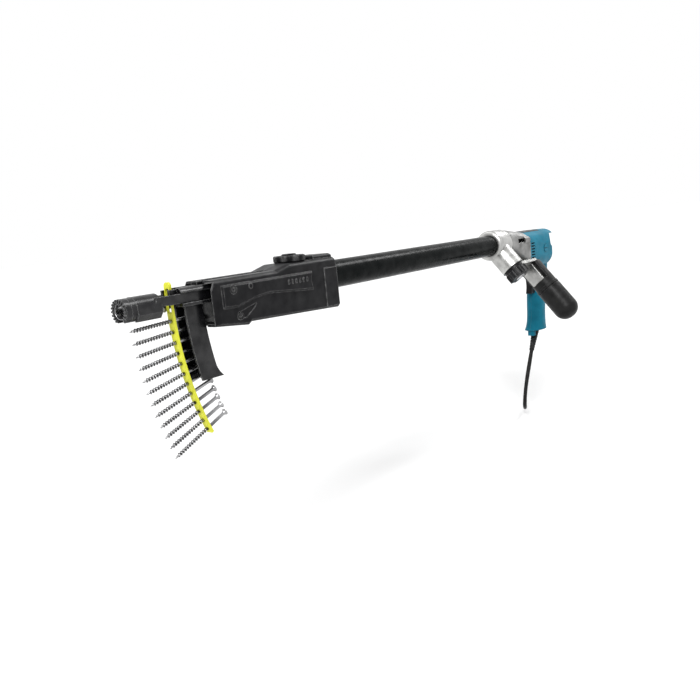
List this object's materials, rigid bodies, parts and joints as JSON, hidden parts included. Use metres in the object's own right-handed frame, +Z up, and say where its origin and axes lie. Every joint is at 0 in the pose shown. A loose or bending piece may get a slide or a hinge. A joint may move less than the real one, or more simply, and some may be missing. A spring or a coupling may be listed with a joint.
{
  "type": "auto-feed decking screwdriver",
  "caption": "Long-reach corded screwdriver: sprung nose fed from a curved screw strip, pole with drive shaft, geared motor with pistol grip, and a swivelling side handle.",
  "frame": {"origin": "on the drive axis at the rear of the motor, where the web of the hand bears above the pistol grip", "axes": "+X along the drive axis from the nose towards the motor, +Z up, +Y to the user's right"},
  "size_m": [1.093, 0.2219, 0.395],
  "materials": {
    "housing_black": "fine satin moulded",
    "nose_black": "gloss",
    "bright_steel": "ground",
    "spring_steel": "bright",
    "strip_yellow": "satin",
    "screw_grey": "coated",
    "rail_plastic": "moulded",
    "pole_black": "gloss",
    "cast_alloy": "cast",
    "core_steel": "laminated",
    "copper": "turned",
    "motor_blue": "satin moulded",
    "trim_black": "moulded",
    "grip_rubber": "matte",
    "cord_rubber": "satin",
    "strap_black": "woven"
  },
  "bodies": {
    "frame": {"housing_left": "housing_black", "housing_right": "housing_black", "slide_rail_left": "rail_plastic", "slide_rail_right": "rail_plastic", "pole_tube": "pole_black", "front_bush": "rail_plastic", "return_spring": "spring_steel", "spindle_bearings": "bright_steel", "gear_case": "cast_alloy", "bearing_plate": "cast_alloy", "armature_bearings": "bright_steel", "field_core": "core_steel", "motor_housing_left": "motor_blue", "motor_housing_right": "motor_blue", "brush_caps": "trim_black", "switch_body": "rail_plastic", "handle_bracket": "cast_alloy", "clamp_stud": "bright_steel", "belt_clip": "spring_steel", "cord_guard": "cord_rubber", "cord_lead": "cord_rubber", "cord_hank": "cord_rubber", "cord_tie": "strap_black", "plug": "cord_rubber"},
    "carriage": {"carriage": "housing_black", "feed_guide": "housing_black", "lever_pin": "bright_steel", "button_spring": "spring_steel"},
    "nose": {"nose_tube": "nose_black", "nose_teeth": "bright_steel"},
    "release_button": {"release_button": "housing_black"},
    "screw_strip": {"strip_band": "strip_yellow", "strip_screws": "screw_grey"},
    "feed_lever": {"feed_lever": "spring_steel"},
    "lever_roller": {"lever_roller": "bright_steel"},
    "depth_dial": {"depth_dial": "housing_black"},
    "drive_train": {"driver_bit": "bright_steel", "mandrel": "bright_steel", "spindle": "bright_steel", "spindle_gear": "bright_steel"},
    "armature": {"armature_shaft": "bright_steel", "armature_core": "core_steel", "commutator": "copper", "cooling_fan": "rail_plastic"},
    "trigger": {"trigger": "trim_black"},
    "lock_button": {"lock_button": "trim_black"},
    "reverse_lever": {"reverse_lever": "trim_black"},
    "side_handle": {"handle_arm": "cast_alloy", "handle_sleeve": "trim_black", "handle_grip": "grip_rubber"},
    "clamp_knob": {"clamp_knob": "trim_black"}
  },
  "joints": [
    {"name": "carriage_slide", "type": "slide", "parent": "frame", "child": "carriage", "axis": [1, 0, 0], "range_m": [0, 0.092], "stiffness_N_per_m": 300, "springref_m": -0.06, "deforming": ["return_spring"]},
    {"name": "nose_adjust", "type": "slide", "parent": "carriage", "child": "nose", "axis": [1, 0, 0], "range_m": [0, 0.0127]},
    {"name": "button_press", "type": "slide", "parent": "carriage", "child": "release_button", "axis": [0, 0, -1], "range_m": [0, 0.0025], "stiffness_N_per_m": 1500, "springref_m": -0.001, "deforming": ["button_spring"]},
    {"name": "strip_feed", "type": "hinge", "parent": "carriage", "child": "screw_strip", "pos_m": [-0.598, 0, 0], "axis": [0, 1, 0], "range_deg": [-1.78, 1]},
    {"name": "lever_swing", "type": "hinge", "parent": "carriage", "child": "feed_lever", "pos_m": [-0.898, 0, 0.004], "axis": [0, 1, 0], "range_deg": [-8, 0]},
    {"name": "roller_spin", "type": "hinge", "parent": "feed_lever", "child": "lever_roller", "pos_m": [-0.886, 0, 0.004], "axis": [0, 1, 0], "continuous": true},
    {"name": "dial_turn", "type": "hinge", "parent": "frame", "child": "depth_dial", "pos_m": [-0.786, 0, 0], "axis": [0, 0, 1], "range_deg": [-150, 150]},
    {"name": "drive_spin", "type": "hinge", "parent": "frame", "child": "drive_train", "pos_m": [0, 0, 0], "axis": [1, 0, 0], "continuous": true},
    {"name": "armature_spin", "type": "hinge", "parent": "frame", "child": "armature", "pos_m": [0, 0, -0.02], "axis": [1, 0, 0], "continuous": true},
    {"name": "trigger_pull", "type": "slide", "parent": "frame", "child": "trigger", "axis": [1, 0, 0], "range_m": [0, 0.007], "stiffness_N_per_m": 800, "springref_m": -0.004},
    {"name": "lock_press", "type": "slide", "parent": "frame", "child": "lock_button", "axis": [0, 1, 0], "range_m": [0, 0.003], "stiffness_N_per_m": 800, "springref_m": -0.002},
    {"name": "reverse_swing", "type": "hinge", "parent": "frame", "child": "reverse_lever", "pos_m": [-0.05, 0, 0], "axis": [0, 0, 1], "range_deg": [-12, 12]},
    {"name": "handle_swivel", "type": "hinge", "parent": "frame", "child": "side_handle", "pos_m": [-0.221, 0, 0], "axis": [0, -0.6428, -0.766], "range_deg": [-90, 90]},
    {"name": "knob_turn", "type": "hinge", "parent": "frame", "child": "clamp_knob", "pos_m": [-0.221, 0, 0], "axis": [0, -0.6428, -0.766], "continuous": true}
  ],
  "couplings": [
    {"joint": "lever_swing", "follows": "carriage_slide", "rad_per_m": -1.5177},
    {"joint": "armature_spin", "follows": "drive_spin", "ratio": -4}
  ]
}
